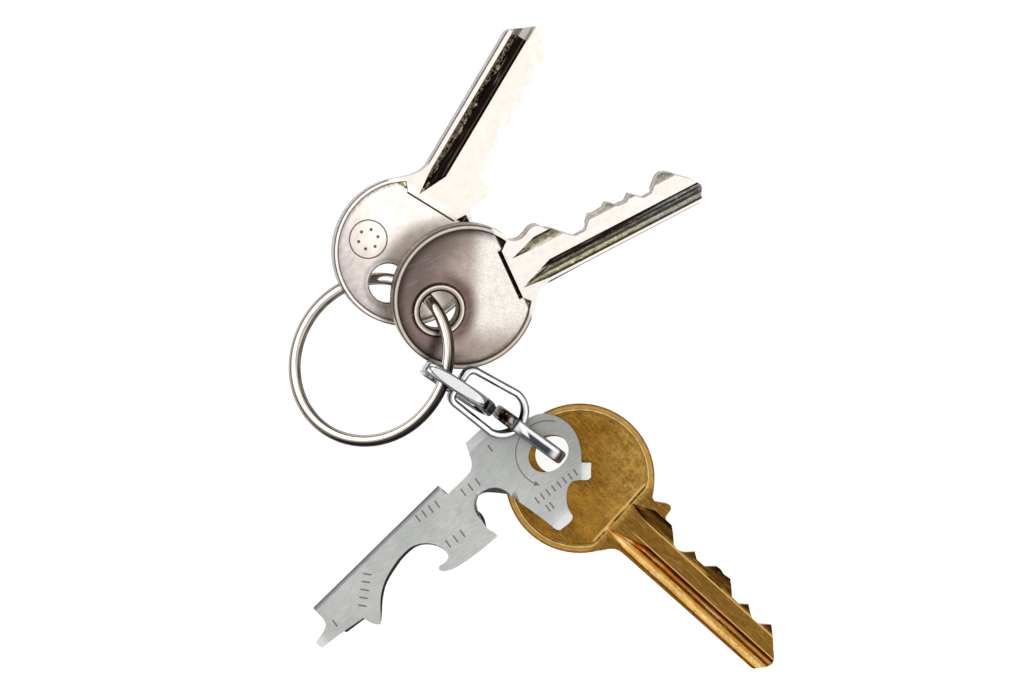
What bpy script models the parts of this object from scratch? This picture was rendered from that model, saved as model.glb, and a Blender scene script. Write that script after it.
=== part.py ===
"""Key organiser: a double-coil split ring with two steel keys, and a short chain that
carries a brass key and a folded sheet-steel key-shaped multitool.

Every dimension is in millimetres here and is turned into metres when a mesh is made.
The bunch lies on a flat surface at z = 0, in the XY plane, and Y is its longest way.
"""
import math

import bmesh
import bpy
from mathutils import Matrix, Vector

MM = 0.001

# ---------------------------------------------------------------- driving dimensions
RING_OUTER_R = 15.0          # standard 30 mm split ring
RING_WIRE_W = 1.95           # radial width of the wire
RING_COIL_T = 0.92           # thickness of one coil
RING_COIL_GAP = 0.06         # air between the two coils
RING_STEP_DEG = 26.0         # angle the wire takes to climb from one coil to the other
RING_TURN_DEG = 105.0        # where the wire starts, on the side where the keys hang
RING_STEPS = 128             # stations along the whole wire

LINK_WIRE_T = 1.3            # link wire, in the plane of the link
LINK_WIRE_W = 2.2            # link wire, across the plane of the link

KEY_T = 2.2                  # thickness of a key blank
KEY_FIELD_DEPTH = 0.22       # coined field on each face of the bow
KEY_GROOVE_DEPTH = 0.7       # milled grooves of the blade

TOOL_T = 1.0                 # sheet thickness of the multitool
TOOL_LEAF_GAP = 2.6          # space between its two leaves, for a key blade
TOOL_BEND_R = 1.25           # outer radius of the two bends along its fold

# ---------------------------------------------------------------- placement of the pieces
# position of the local origin, then (roll, pitch, yaw) in degrees
CENTRE = (0.2, 0.23, 0.0)    # brings the middle of the whole bunch over the origin
PLACE = {
    "split_ring": ((-27.14, -2.28, 6.88), (0.0, -24.6, -32.8)),
    "rear_key": ((-21.39, 15.98, 4.34), (14.7, 3.3, 59.4)),
    "front_key": ((-11.55, 8.43, 8.3), (19.8, 7.7, 27.6)),
    "ring_link": ((-12.37, -7.17, 10.99), (83.1, 4.2, -33.7)),
    "middle_link": ((-7.08, -9.69, 8.36), (0.9, 15.8, -34.0)),
    "tool_link": ((-0.61, -14.89, 4.43), (90.3, -5.9, 143.7)),
    "brass_key": ((8.11, -22.44, 2.39), (-0.2, 1.6, -42.2)),
    "key_multitool": ((3.08, -18.6, 4.77), (0.0, 0.8, 216.0)),
}
# local position of each joint, where the moving piece has its origin
PIVOT = {
    "split_ring": (0.0, 0.0, 0.0),
    "rear_key": (-5.7, 0.2, 0.0),
    "front_key": (-5.2, 0.15, 0.0),
    "ring_link": (-3.0, 1.35, 0.0),
    "middle_link": (-6.45, 0.0, 0.0),
    "tool_link": (2.3, 1.9, 0.6),
    "brass_key": (-5.2, 0.4, 0.0),
    "key_multitool": (-1.1, 0.9, 0.0),
}

# ---------------------------------------------------------------- outlines, seen from the front
# Each key has its bow centre at the origin and its blade along +X.
# The blade outline runs from the upper shoulder round the tip to the lower shoulder.
REAR_BLADE = [
    (10.0, 7.65), (11.2, 6.4), (12.4, 5.4), (13.5, 4.85), (14.8, 4.65), (40.5, 4.7),
    (41.4, 4.35), (41.9, 3.6), (42.9, 2.2), (44.1, 0.75), (43.3, -0.6), (41.6, -2.2),
    (40.1, -3.35), (39.4, -3.6), (38.2, -2.65), (36.4, -3.3), (35.4, -3.75), (34.0, -2.45),
    (32.4, -3.4), (31.0, -4.05), (29.8, -2.95), (28.6, -3.6), (27.5, -4.0), (25.7, -2.5),
    (24.2, -3.6), (22.6, -4.35), (21.4, -3.4), (19.6, -4.3), (17.4, -4.05), (16.75, -4.8),
    (16.5, -6.5), (15.8, -7.05), (14.9, -6.95), (13.4, -6.1), (12.2, -5.6), (11.4, -5.8),
    (10.0, -7.45),
]
FRONT_BLADE = [
    (10.5, 6.7), (10.75, 5.35), (11.6, 4.75), (12.6, 4.6), (13.6, 4.8), (14.8, 5.4), (15.7, 5.5),
    (16.5, 5.15), (17.3, 4.15), (18.2, 3.6), (19.2, 2.6), (20.4, 1.4), (21.4, 0.6),
    (23.3, 0.6), (24.2, 1.5), (25.2, 2.6), (25.7, 2.4), (27.8, 2.45), (28.6, 3.05),
    (29.3, 2.7), (30.1, 1.8), (31.8, 1.7), (32.9, 2.6), (33.8, 1.8), (34.8, 1.0), (36.3, 1.05),
    (37.4, 2.1), (38.5, 3.15), (39.4, 3.3), (40.4, 2.9), (41.8, 1.6), (43.2, 0.4),
    (44.4, -1.1), (44.9, -1.9), (44.5, -2.9), (43.9, -3.9), (43.2, -4.4), (20.0, -4.45),
    (14.6, -4.6), (12.6, -4.8), (11.6, -5.3), (10.9, -6.2),
]
BRASS_BLADE = [
    (10.4, 7.2), (11.3, 5.85), (12.0, 5.6), (13.0, 6.2), (14.0, 6.8), (14.6, 6.85), (15.0, 6.4),
    (15.15, 4.9), (15.5, 4.6), (16.9, 4.55), (17.9, 3.8), (19.4, 2.35), (20.3, 2.15),
    (21.3, 2.4), (22.9, 3.85), (24.0, 3.1), (25.8, 3.1), (27.3, 4.5), (28.0, 4.6),
    (29.0, 4.35), (30.4, 4.5), (31.4, 3.7), (32.7, 2.4), (34.4, 2.3), (35.7, 3.35),
    (36.9, 2.45), (37.7, 2.05), (39.3, 2.1), (40.9, 3.4), (42.3, 2.1), (43.8, 0.6),
    (45.1, -0.7), (45.5, -1.5), (45.1, -2.4), (44.4, -3.3), (43.6, -4.15), (43.0, -4.3),
    (14.0, -4.55), (12.7, -4.8), (11.8, -5.45), (10.9, -6.65),
]

# The multitool's front leaf, round its swivel hole, with the tail along +X.
# It starts and ends on the fold, which runs along the tail's lower edge.
TOOL_FOLD_START = (18.4, -7.05)
TOOL_FOLD_END = (47.6, -2.75)
TOOL_FRONT = [
    (47.25, -0.3), (47.45, 0.7), (48.2, 1.35), (49.4, 1.8), (50.5, 2.15), (50.65, 2.6),
    (50.35, 3.6), (46.0, 3.5), (41.7, 3.6), (41.3, 4.6), (40.7, 5.6), (40.0, 6.2),
    (39.2, 5.1), (38.4, 3.9), (37.5, 2.75), (36.4, 1.65), (35.0, 0.65), (33.2, -0.2),
    (31.2, -0.9), (29.2, -1.3), (27.8, -1.3), (26.5, -0.9), (25.3, -0.1), (24.4, 0.95),
    (23.9, 2.0), (23.75, 3.0), (23.95, 3.7), (24.6, 4.05), (26.2, 4.1), (26.55, 4.55),
    (26.1, 5.15), (25.2, 5.6), (23.8, 5.9), (21.0, 6.05), (18.0, 5.95), (15.2, 5.75),
    (15.3, 5.0), (15.75, 4.0), (15.85, 2.8), (15.65, 1.3), (15.2, -0.1), (14.6, -1.1),
    (13.8, -1.65), (13.0, -1.6), (12.2, -1.2), (11.3, -0.5), (10.3, 0.4), (9.5, 1.3),
    (8.9, 3.0), (8.2, 5.0), (7.5, 7.2), (6.9, 9.2), (6.4, 10.8), (6.0, 11.15), (3.4, 10.9),
    (2.9, 10.5), (2.75, 9.0), (2.3, 7.9), (1.5, 6.8), (0.6, 6.0), (-0.4, 5.65), (-1.5, 6.1),
    (-2.8, 7.0), (-3.4, 7.0), (-4.9, 5.0), (-3.6, 4.0), (-4.6, 2.5), (-5.3, 1.0),
    (-5.7, -0.6), (-5.7, -2.2), (-5.3, -3.7), (-4.5, -5.2), (-3.5, -6.3), (-2.2, -7.0),
    (-0.9, -7.3), (0.9, -7.5), (2.6, -7.9), (4.3, -8.5), (5.3, -9.4), (5.7, -10.7),
    (10.3, -10.15), (10.9, -8.3), (11.5, -6.75), (12.3, -5.95), (13.3, -5.6), (15.0, -5.3),
    (17.6, -4.95), (17.95, -4.85),
]
TOOL_BACK = [
    (47.1, -0.4), (46.3, 1.2), (46.1, 3.4), (45.7, 4.05), (41.9, 4.0), (40.9, 4.9), (39.9, 6.0),
    (38.95, 4.9), (37.95, 3.65), (36.9, 2.55), (35.7, 1.55), (34.2, 0.75), (32.4, 0.05),
    (30.7, -0.5), (29.2, -0.75), (27.9, -0.8), (26.8, -0.55), (25.6, 0.2), (24.7, 1.15),
    (24.2, 2.1), (23.9, 3.1), (23.2, 4.6), (21.4, 5.3), (18.4, 5.3), (16.6, 4.3),
    (15.5, 2.4), (15.35, 1.2), (16.0, -0.6), (16.9, -2.4), (17.9, -4.3),
]
TOOL_HOLE = ((0.0, -0.5), 3.5, 2.85)      # centre and the two half-widths of the swivel hole

KEYS = {
    "rear_key": {
        "blade": REAR_BLADE, "bow_r": 12.6, "hole": (-6.2, 0.0, 3.3), "boss_r": 0.0,
        "field_r": 11.5, "field_x": 8.7, "field_y": (5.1, -4.3),
        "grooves": [[(9.9, 2.5), (14.5, 1.1), (46.0, 1.1), (46.0, 3.5), (11.0, 3.5), (9.9, 3.2)]],
        "back_grooves": [[(11.0, -2.8), (46.0, -2.8), (46.0, -0.6), (11.0, -0.6)]],
        "color": (0.66, 0.63, 0.60), "rough": 0.28,
    },
    "front_key": {
        "blade": FRONT_BLADE, "bow_r": 12.45, "hole": (-4.9, 0.0, 3.35), "boss_r": 4.35,
        "field_r": 11.2, "field_x": 8.9, "field_y": (4.2, -4.8),
        "grooves": [
            [(9.7, -2.1), (16.5, -0.85), (46.0, -0.9), (46.0, -3.9), (11.5, -3.7), (9.7, -3.2)],
            [(10.4, 2.7), (12.0, 3.5), (46.0, 3.5), (46.0, 2.0), (10.4, 2.0)],
        ],
        "back_grooves": [[(11.0, 0.2), (46.0, 0.2), (46.0, 1.4), (11.0, 1.4)]],
        "color": (0.62, 0.59, 0.57), "rough": 0.3,
    },
    "brass_key": {
        "blade": BRASS_BLADE, "bow_r": 12.65, "hole": (-5.95, 0.0, 3.15), "boss_r": 0.0,
        "field_r": 11.4, "field_x": 9.3, "field_y": (6.2, -5.9),
        "grooves": [
            [(9.2, -2.3), (16.0, -0.9), (46.0, -0.9), (46.0, -3.9), (11.0, -3.8), (9.2, -3.2)],
            [(9.8, 2.6), (12.0, 4.3), (46.0, 4.3), (46.0, 2.2), (9.8, 2.2)],
        ],
        "back_grooves": [[(11.0, 0.3), (46.0, 0.3), (46.0, 1.5), (11.0, 1.5)]],
        "color": (0.60, 0.44, 0.20), "rough": 0.35,
    },
}


# ---------------------------------------------------------------- helpers
def clear_scene():
    for ob in list(bpy.data.objects):
        bpy.data.objects.remove(ob, do_unlink=True)


def make_material(name, color, rough, metallic):
    mat = bpy.data.materials.new(name)
    mat.use_nodes = True
    bsdf = mat.node_tree.nodes["Principled BSDF"]
    bsdf.inputs["Base Color"].default_value = (color[0], color[1], color[2], 1.0)
    bsdf.inputs["Roughness"].default_value = rough
    bsdf.inputs["Metallic"].default_value = metallic
    return mat


def new_object(name, bm, mat=None):
    """Turn a millimetre bmesh into an object in metres."""
    bmesh.ops.recalc_face_normals(bm, faces=bm.faces[:])
    bmesh.ops.scale(bm, vec=(MM, MM, MM), verts=bm.verts[:])
    me = bpy.data.meshes.new(name)
    bm.to_mesh(me)
    bm.free()
    ob = bpy.data.objects.new(name, me)
    bpy.context.scene.collection.objects.link(ob)
    if mat is not None:
        me.materials.append(mat)
        me.shade_smooth()
        me.set_sharp_from_angle(angle=math.radians(30.0))
    return ob


def prism(outline, z0, z1):
    """Closed prism over a plane outline."""
    bm = bmesh.new()
    low = [bm.verts.new((x, y, z0)) for x, y in outline]
    top = [bm.verts.new((x, y, z1)) for x, y in outline]
    bm.faces.new(list(reversed(low)))
    bm.faces.new(top)
    n = len(outline)
    for i in range(n):
        j = (i + 1) % n
        bm.faces.new((low[i], low[j], top[j], top[i]))
    return bm


def ellipse(cx, cy, rx, ry, steps, start=0.0, sweep=360.0):
    full = abs(sweep) >= 360.0
    count = steps if full else steps + 1
    points = []
    for i in range(count):
        a = math.radians(start + sweep * i / steps)
        points.append((cx + rx * math.cos(a), cy + ry * math.sin(a)))
    return points


def cut(target, outline, z0, z1, operation="DIFFERENCE"):
    """Cut or add a prism, kept as a modifier on the target."""
    tool = new_object(target.name + "_cutter", prism(outline, z0, z1))
    tool.hide_render = True
    tool.display_type = "WIRE"
    tool.parent = target
    mod = target.modifiers.new(operation.lower(), "BOOLEAN")
    mod.operation = operation
    mod.solver = "EXACT"
    mod.object = tool


def place(ob, name):
    """Put the piece where it lies, with its origin on its joint."""
    position, angles = PLACE[name]
    pivot = Vector(PIVOT[name])
    turn = Matrix.Rotation(math.radians(angles[2]), 4, "Z")
    turn = turn @ Matrix.Rotation(math.radians(angles[1]), 4, "Y")
    turn = turn @ Matrix.Rotation(math.radians(angles[0]), 4, "X")
    offset = turn @ pivot
    ob.location = [(position[i] + CENTRE[i] + offset[i]) * MM for i in range(3)]
    ob.rotation_euler = turn.to_euler()


def shift(outline, name):
    """Outline measured from the piece's pivot."""
    px, py, _ = PIVOT[name]
    return [(x - px, y - py) for x, y in outline]


# ---------------------------------------------------------------- split ring
def build_split_ring():
    name = "split_ring"
    mean_r = RING_OUTER_R - RING_WIRE_W / 2.0
    rise = RING_COIL_T + RING_COIL_GAP
    w = RING_WIRE_W / 2.0
    t = RING_COIL_T / 2.0
    round_w, round_t = 0.62, 0.5      # the side away from the other coil is rounded off
    flat_w, flat_t = 0.14, 0.1        # the side that faces it is nearly flat
    step = RING_STEP_DEG
    end_gap = 1.2
    first = end_gap
    last = 720.0 - step - end_gap
    bm = bmesh.new()
    rows = []
    for i in range(RING_STEPS + 1):
        deg = first + (last - first) * i / RING_STEPS
        climb = (deg - (360.0 - step)) / step
        climb = min(max(climb, 0.0), 1.0)
        climb = climb * climb * (3.0 - 2.0 * climb)
        zc = rise * (climb - 0.5)
        a = math.radians(deg + RING_TURN_DEG)
        low_w = round_w + (flat_w - round_w) * climb
        low_t = round_t + (flat_t - round_t) * climb
        top_w = flat_w + (round_w - flat_w) * climb
        top_t = flat_t + (round_t - flat_t) * climb
        section = [
            (-w, -t + low_t), (-w + low_w, -t), (w - low_w, -t), (w, -t + low_t),
            (w, t - top_t), (w - top_w, t), (-w + top_w, t), (-w, t - top_t),
        ]
        row = []
        for u, v in section:
            r = mean_r + u
            row.append(bm.verts.new((r * math.cos(a), r * math.sin(a), zc + v)))
        rows.append(row)
    n = len(rows[0])
    for near, far in zip(rows, rows[1:]):
        for k in range(n):
            m = (k + 1) % n
            bm.faces.new((near[k], near[m], far[m], far[k]))
    bm.faces.new(list(reversed(rows[0])))
    bm.faces.new(rows[-1])
    mat = make_material(name, (0.70, 0.67, 0.63), 0.14, 1.0)
    ob = new_object(name, bm, mat)
    place(ob, name)
    return ob


# ---------------------------------------------------------------- chain links
def link_path(offset):
    """Outline of a link moved inwards: squarer at one end, round at the other."""
    path = []
    small = 2.0 - offset
    large = 4.6 - offset
    path += ellipse(-5.1, 1.9, small, small, 5, 96.0, 84.0)
    path += ellipse(-5.1, -1.9, small, small, 5, 180.0, 84.0)
    path += ellipse(2.5, 0.0, large, large, 14, -86.0, 172.0)
    return path


def build_link(name):
    px, py, pz = PIVOT[name]
    w = LINK_WIRE_W / 2.0
    t = LINK_WIRE_T
    cut_w = 0.35
    cut_t = 0.3
    section = [
        (0.0, -w + cut_w), (cut_t, -w), (t - cut_t, -w), (t, -w + cut_w),
        (t, w - cut_w), (t - cut_t, w), (cut_t, w), (0.0, w - cut_w),
    ]
    loops = {}
    for offset in sorted({s[0] for s in section}):
        loops[offset] = link_path(offset)
    bm = bmesh.new()
    rows = []
    for offset, z in section:
        rows.append([bm.verts.new((x - px, y - py, z - pz)) for x, y in loops[offset]])
    count = len(rows[0])
    for k in range(len(rows)):
        m = (k + 1) % len(rows)
        for i in range(count):
            j = (i + 1) % count
            bm.faces.new((rows[k][i], rows[k][j], rows[m][j], rows[m][i]))
    mat = make_material(name, (0.72, 0.72, 0.73), 0.12, 1.0)
    ob = new_object(name, bm, mat)
    place(ob, name)
    return ob


# ---------------------------------------------------------------- keys
def bow_arc(radius, blade):
    """Bow edge from the lower shoulder of the blade back round to the upper one."""
    start = math.degrees(math.atan2(blade[-1][1], blade[-1][0]))
    stop = math.degrees(math.atan2(blade[0][1], blade[0][0]))
    sweep = -(360.0 - (stop - start))
    return ellipse(0.0, 0.0, radius, radius, 60, start, sweep)


def field_outline(spec):
    """Coined field of the bow: a circle cut square, with small corners, towards the blade."""
    r = spec["field_r"]
    top, bottom = spec["field_y"]
    x = spec["field_x"]
    high = math.degrees(math.asin((top + 1.0) / r))
    low = math.degrees(math.asin((bottom - 1.0) / r))
    points = ellipse(0.0, 0.0, r, r, 48, high, 360.0 - (high - low))
    points += [(x, bottom), (x, top)]
    return points


def build_key(name):
    spec = KEYS[name]
    blade = spec["blade"]
    half = KEY_T / 2.0
    arc = bow_arc(spec["bow_r"], blade)
    outline = blade + arc[1:-1]
    bm = prism(shift(outline, name), -half, half)
    mat = make_material(name, spec["color"], spec["rough"], 1.0)
    ob = new_object(name, bm, mat)
    field = shift(field_outline(spec), name)
    cut(ob, field, half - KEY_FIELD_DEPTH, half + 1.0)
    cut(ob, field, -half - 1.0, -half + KEY_FIELD_DEPTH)
    hx, hy, hr = spec["hole"]
    if spec["boss_r"] > 0.0:
        boss = shift(ellipse(hx, hy, spec["boss_r"], spec["boss_r"], 32), name)
        cut(ob, boss, -half, half, "UNION")
    for groove in spec["grooves"]:
        cut(ob, shift(groove, name), half - KEY_GROOVE_DEPTH, half + 1.0)
    for groove in spec["back_grooves"]:
        cut(ob, shift(groove, name), -half - 1.0, -half + KEY_GROOVE_DEPTH)
    cut(ob, shift(ellipse(hx, hy, hr, hr, 32), name), -half - 2.0, half + 2.0)
    place(ob, name)
    return ob


# ---------------------------------------------------------------- folded multitool
def build_multitool():
    name = "key_multitool"
    px, py, _ = PIVOT[name]
    start = Vector(TOOL_FOLD_START)
    end = Vector(TOOL_FOLD_END)
    along = (end - start).normalized()
    inward = Vector((-along.y, along.x))
    length = (end - start).length
    half = TOOL_T / 2.0
    low = -TOOL_T - TOOL_LEAF_GAP

    def fold_line(radius):
        """Folded edge from the front leaf to the back one: a bend, a side wall, a bend."""
        line = []
        for middle, first in ((half - TOOL_BEND_R, 90.0), (low - half + TOOL_BEND_R, 180.0)):
            line += ellipse(TOOL_BEND_R, middle, radius, radius, 4, first, 90.0)
        return line

    def lay(line):
        """Pairs of points along the fold, at its start and its end."""
        pairs = []
        for s, z in line:
            pair = []
            for t in (0.0, length):
                p = start + along * t + inward * s
                pair.append(bm.verts.new((p.x - px, p.y - py, z)))
            pairs.append(pair)
        return pairs

    bm = bmesh.new()
    outer = lay(fold_line(TOOL_BEND_R))
    inner = lay(fold_line(TOOL_BEND_R - TOOL_T))
    for i in range(len(outer) - 1):
        bm.faces.new((outer[i][0], outer[i][1], outer[i + 1][1], outer[i + 1][0]))
        bm.faces.new((inner[i][1], inner[i][0], inner[i + 1][0], inner[i + 1][1]))
        bm.faces.new((outer[i][0], outer[i + 1][0], inner[i + 1][0], inner[i][0]))
        bm.faces.new((outer[i + 1][1], outer[i][1], inner[i][1], inner[i + 1][1]))

    def leaf(points, near_outer, near_inner, z_outer, z_inner):
        """Flat leaf that grows out of one edge of the fold."""
        ring_o = [near_outer[1]]
        ring_i = [near_inner[1]]
        for x, y in points:
            ring_o.append(bm.verts.new((x - px, y - py, z_outer)))
            ring_i.append(bm.verts.new((x - px, y - py, z_inner)))
        ring_o.append(near_outer[0])
        ring_i.append(near_inner[0])
        bm.faces.new(ring_o)
        bm.faces.new(list(reversed(ring_i)))
        for k in range(len(ring_o) - 1):
            bm.faces.new((ring_o[k], ring_i[k], ring_i[k + 1], ring_o[k + 1]))

    leaf(TOOL_FRONT, outer[0], inner[0], half, -half)
    leaf(TOOL_BACK, outer[-1], inner[-1], low - half, low + half)
    mat = make_material(name, (0.62, 0.63, 0.64), 0.34, 1.0)
    ob = new_object(name, bm, mat)
    (hx, hy), rx, ry = TOOL_HOLE
    cut(ob, shift(ellipse(hx, hy, rx, ry, 36), name), -half - 0.5, half + 0.5)
    place(ob, name)
    return ob


# ---------------------------------------------------------------- the whole bunch
clear_scene()
build_split_ring()
for link_name in ("ring_link", "middle_link", "tool_link"):
    build_link(link_name)
for key_name in KEYS:
    build_key(key_name)
build_multitool()
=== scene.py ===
"""Key organiser, the looks: a split ring with two nickel keys, and a short chain with a brass
key and a folded steel multitool, lying on a pale table under soft studio light.

Every piece is drawn in its own flat frame, in millimetres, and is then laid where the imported
part has it.
"""
import math

import bmesh
import bpy
from mathutils import Matrix, Vector


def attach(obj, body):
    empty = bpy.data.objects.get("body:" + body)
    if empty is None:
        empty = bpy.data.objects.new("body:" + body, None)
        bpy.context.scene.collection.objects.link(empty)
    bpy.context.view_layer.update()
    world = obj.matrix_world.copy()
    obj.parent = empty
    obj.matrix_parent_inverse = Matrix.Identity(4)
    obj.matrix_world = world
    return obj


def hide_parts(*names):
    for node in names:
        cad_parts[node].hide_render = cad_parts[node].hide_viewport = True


MM = 0.001
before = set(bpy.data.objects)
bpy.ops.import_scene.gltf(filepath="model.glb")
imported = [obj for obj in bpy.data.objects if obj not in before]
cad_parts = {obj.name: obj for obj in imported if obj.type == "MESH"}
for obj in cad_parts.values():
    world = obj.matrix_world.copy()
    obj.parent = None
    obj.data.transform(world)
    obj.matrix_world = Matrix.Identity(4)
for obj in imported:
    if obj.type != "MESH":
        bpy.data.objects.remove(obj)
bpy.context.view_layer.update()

# ---------------------------------------------------------------- where the pieces lie
CENTRE = (0.2, 0.23, 0.0)
PLACE = {
    "split_ring": ((-27.14, -2.28, 6.88), (0.0, -24.6, -32.8)),
    "rear_key": ((-21.39, 15.98, 4.34), (14.7, 3.3, 59.4)),
    "front_key": ((-11.55, 8.43, 8.3), (19.8, 7.7, 27.6)),
    "ring_link": ((-12.37, -7.17, 10.99), (83.1, 4.2, -33.7)),
    "middle_link": ((-7.08, -9.69, 8.36), (0.9, 15.8, -34.0)),
    "tool_link": ((-0.61, -14.89, 4.43), (90.3, -5.9, 143.7)),
    "brass_key": ((8.11, -22.44, 2.39), (-0.2, 1.6, -42.2)),
    "key_multitool": ((3.08, -18.6, 4.77), (0.0, 0.8, 216.0)),
}

# ---------------------------------------------------------------- outlines, millimetres
# A key's bow is centred on its origin and its blade runs along +X. The blade outline goes
# from the upper shoulder round the tip to the lower shoulder.
REAR_BLADE = [
    (10.0, 7.65), (11.2, 6.4), (12.4, 5.4), (13.5, 4.85), (14.8, 4.65), (40.5, 4.7),
    (41.4, 4.35), (41.9, 3.6), (42.9, 2.2), (44.1, 0.75), (43.3, -0.6), (41.6, -2.2),
    (40.1, -3.35), (39.4, -3.6), (38.2, -2.65), (36.4, -3.3), (35.4, -3.75), (34.0, -2.45),
    (32.4, -3.4), (31.0, -4.05), (29.8, -2.95), (28.6, -3.6), (27.5, -4.0), (25.7, -2.5),
    (24.2, -3.6), (22.6, -4.35), (21.4, -3.4), (19.6, -4.3), (17.4, -4.05), (16.75, -4.8),
    (16.5, -6.5), (15.8, -7.05), (14.9, -6.95), (13.4, -6.1), (12.2, -5.6), (11.4, -5.8),
    (10.0, -7.45),
]
FRONT_BLADE = [
    (10.5, 6.7), (10.75, 5.35), (11.6, 4.75), (12.6, 4.6), (13.6, 4.8), (14.8, 5.4),
    (15.7, 5.5), (16.5, 5.15), (17.3, 4.15), (18.2, 3.6), (19.2, 2.6), (20.4, 1.4),
    (21.4, 0.6), (23.3, 0.6), (24.2, 1.5), (25.2, 2.6), (25.7, 2.4), (27.8, 2.45),
    (28.6, 3.05), (29.3, 2.7), (30.1, 1.8), (31.8, 1.7), (32.9, 2.6), (33.8, 1.8),
    (34.8, 1.0), (36.3, 1.05), (37.4, 2.1), (38.5, 3.15), (39.4, 3.3), (40.4, 2.9),
    (41.8, 1.6), (43.2, 0.4), (44.4, -1.1), (44.9, -1.9), (44.5, -2.9), (43.9, -3.9),
    (43.2, -4.4), (20.0, -4.45), (14.6, -4.6), (12.6, -4.8), (11.6, -5.3), (10.9, -6.2),
]
BRASS_BLADE = [
    (10.4, 7.2), (11.3, 5.85), (12.0, 5.6), (13.0, 6.2), (14.0, 6.8), (14.6, 6.85),
    (15.0, 6.4), (15.15, 4.9), (15.5, 4.6), (16.9, 4.55), (17.9, 3.8), (19.4, 2.35),
    (20.3, 2.15), (21.3, 2.4), (22.9, 3.85), (24.0, 3.1), (25.8, 3.1), (27.3, 4.5),
    (28.0, 4.6), (29.0, 4.35), (30.4, 4.5), (31.4, 3.7), (32.7, 2.4), (34.4, 2.3),
    (35.7, 3.35), (36.9, 2.45), (37.7, 2.05), (39.3, 2.1), (40.9, 3.4), (42.3, 2.1),
    (43.8, 0.6), (45.1, -0.7), (45.5, -1.5), (45.1, -2.4), (44.4, -3.3), (43.6, -4.15),
    (43.0, -4.3), (14.0, -4.55), (12.7, -4.8), (11.8, -5.45), (10.9, -6.65),
]

# The multitool is drawn round its swivel hole, with its tail along +X and the fold along the
# tail's lower edge, where both leaves start and end.
FOLD_START = (18.4, -7.05)
FOLD_END = (47.6, -2.75)
TOOL_FRONT = [
    (47.25, -0.3), (47.45, 0.7), (48.2, 1.35), (49.4, 1.8), (50.5, 2.15), (50.65, 2.6),
    (50.35, 3.6), (46.0, 3.5), (41.7, 3.6), (41.3, 4.6), (40.7, 5.6), (40.0, 6.2),
    (39.2, 5.1), (38.4, 3.9), (37.5, 2.75), (36.4, 1.65), (35.0, 0.65), (33.2, -0.2),
    (31.2, -0.9), (29.2, -1.3), (27.8, -1.3), (26.5, -0.9), (25.3, -0.1), (24.4, 0.95),
    (23.9, 2.0), (23.75, 3.0), (23.95, 3.7), (24.6, 4.05), (26.2, 4.1), (26.55, 4.55),
    (26.1, 5.15), (25.2, 5.6), (23.8, 5.9), (21.0, 6.05), (18.0, 5.95), (15.2, 5.75),
    (15.3, 5.0), (15.75, 4.0), (15.85, 2.8), (15.65, 1.3), (15.2, -0.1), (14.6, -1.1),
    (13.8, -1.65), (13.0, -1.6), (12.2, -1.2), (11.3, -0.5), (10.3, 0.4), (9.5, 1.3),
    (8.9, 3.0), (8.2, 5.0), (7.5, 7.2), (6.9, 9.2), (6.4, 10.8), (6.0, 11.15), (3.4, 10.9),
    (2.9, 10.5), (2.75, 9.0), (2.3, 7.9), (1.5, 6.8), (0.6, 6.0), (-0.4, 5.65), (-1.5, 6.1),
    (-2.8, 7.0), (-3.4, 7.0), (-4.9, 5.0), (-3.6, 4.0), (-4.6, 2.5), (-5.3, 1.0),
    (-5.7, -0.6), (-5.7, -2.2), (-5.3, -3.7), (-4.5, -5.2), (-3.5, -6.3), (-2.2, -7.0),
    (-0.9, -7.3), (0.9, -7.5), (2.6, -7.9), (4.3, -8.5), (5.3, -9.4), (5.7, -10.7),
    (10.3, -10.15), (10.9, -8.3), (11.5, -6.75), (12.3, -5.95), (13.3, -5.6), (15.0, -5.3),
    (17.6, -4.95), (17.95, -4.85),
]
TOOL_BACK = [
    (47.1, -0.4), (46.3, 1.2), (46.1, 3.4), (45.7, 4.05), (41.9, 4.0), (40.9, 4.9),
    (39.9, 6.0), (38.95, 4.9), (37.95, 3.65), (36.9, 2.55), (35.7, 1.55), (34.2, 0.75),
    (32.4, 0.05), (30.7, -0.5), (29.2, -0.75), (27.9, -0.8), (26.8, -0.55), (25.6, 0.2),
    (24.7, 1.15), (24.2, 2.1), (23.9, 3.1), (23.2, 4.6), (21.4, 5.3), (18.4, 5.3),
    (16.6, 4.3), (15.5, 2.4), (15.35, 1.2), (16.0, -0.6), (16.9, -2.4), (17.9, -4.3),
]
TOOL_HOLE = ((0.0, -0.5), 3.5, 2.85)
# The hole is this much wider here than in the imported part, which clears the end link.
HOLE_EXTRA = 0.1
# middle of the opener's notch, and the way its ground side faces
NOTCH = (12.75, 1.55)
NOTCH_SIDE = (0.588, 0.809)
# Tips that are ground, painted with a soft highlight, with how far the highlight reaches.
GROUND_SHEEN_TIPS = (((-4.6, 6.6), 3.4), ((4.4, 11.4), 4.0), ((51.0, 3.0), 3.0))
# rows of etched ticks: middle, direction in degrees, number of ticks, pitch, height
ETCHED = [
    ((14.0, -3.65), 0.0, 3, 1.5, 1.5), ((22.3, -4.6), 0.0, 4, 1.35, 1.5),
    ((21.2, 1.9), 0.0, 3, 1.5, 1.5), ((38.7, -0.1), 45.0, 5, 1.35, 1.5),
    ((2.2, 4.75), 0.0, 8, 1.15, 1.3), ((7.45, -7.0), 0.0, 1, 1.4, 1.4),
    ((5.1, 6.9), 0.0, 2, 0.8, 1.4), ((46.1, 1.5), 0.0, 1, 1.4, 1.4),
]
# each tip that is ground thin: middle of its edge, the way it points, its width
TIPS = [
    ((4.7, 11.1), (-0.1, 1.0), 5.0),
    ((-4.1, 6.0), (-0.8, 0.6), 3.4),
    ((8.0, -10.45), (0.12, -1.0), 6.4),
    ((50.5, 2.9), (0.96, 0.2), 2.6),
]

KEY_HALF = 1.1
STAMP = (-1.6, 6.8)
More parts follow.
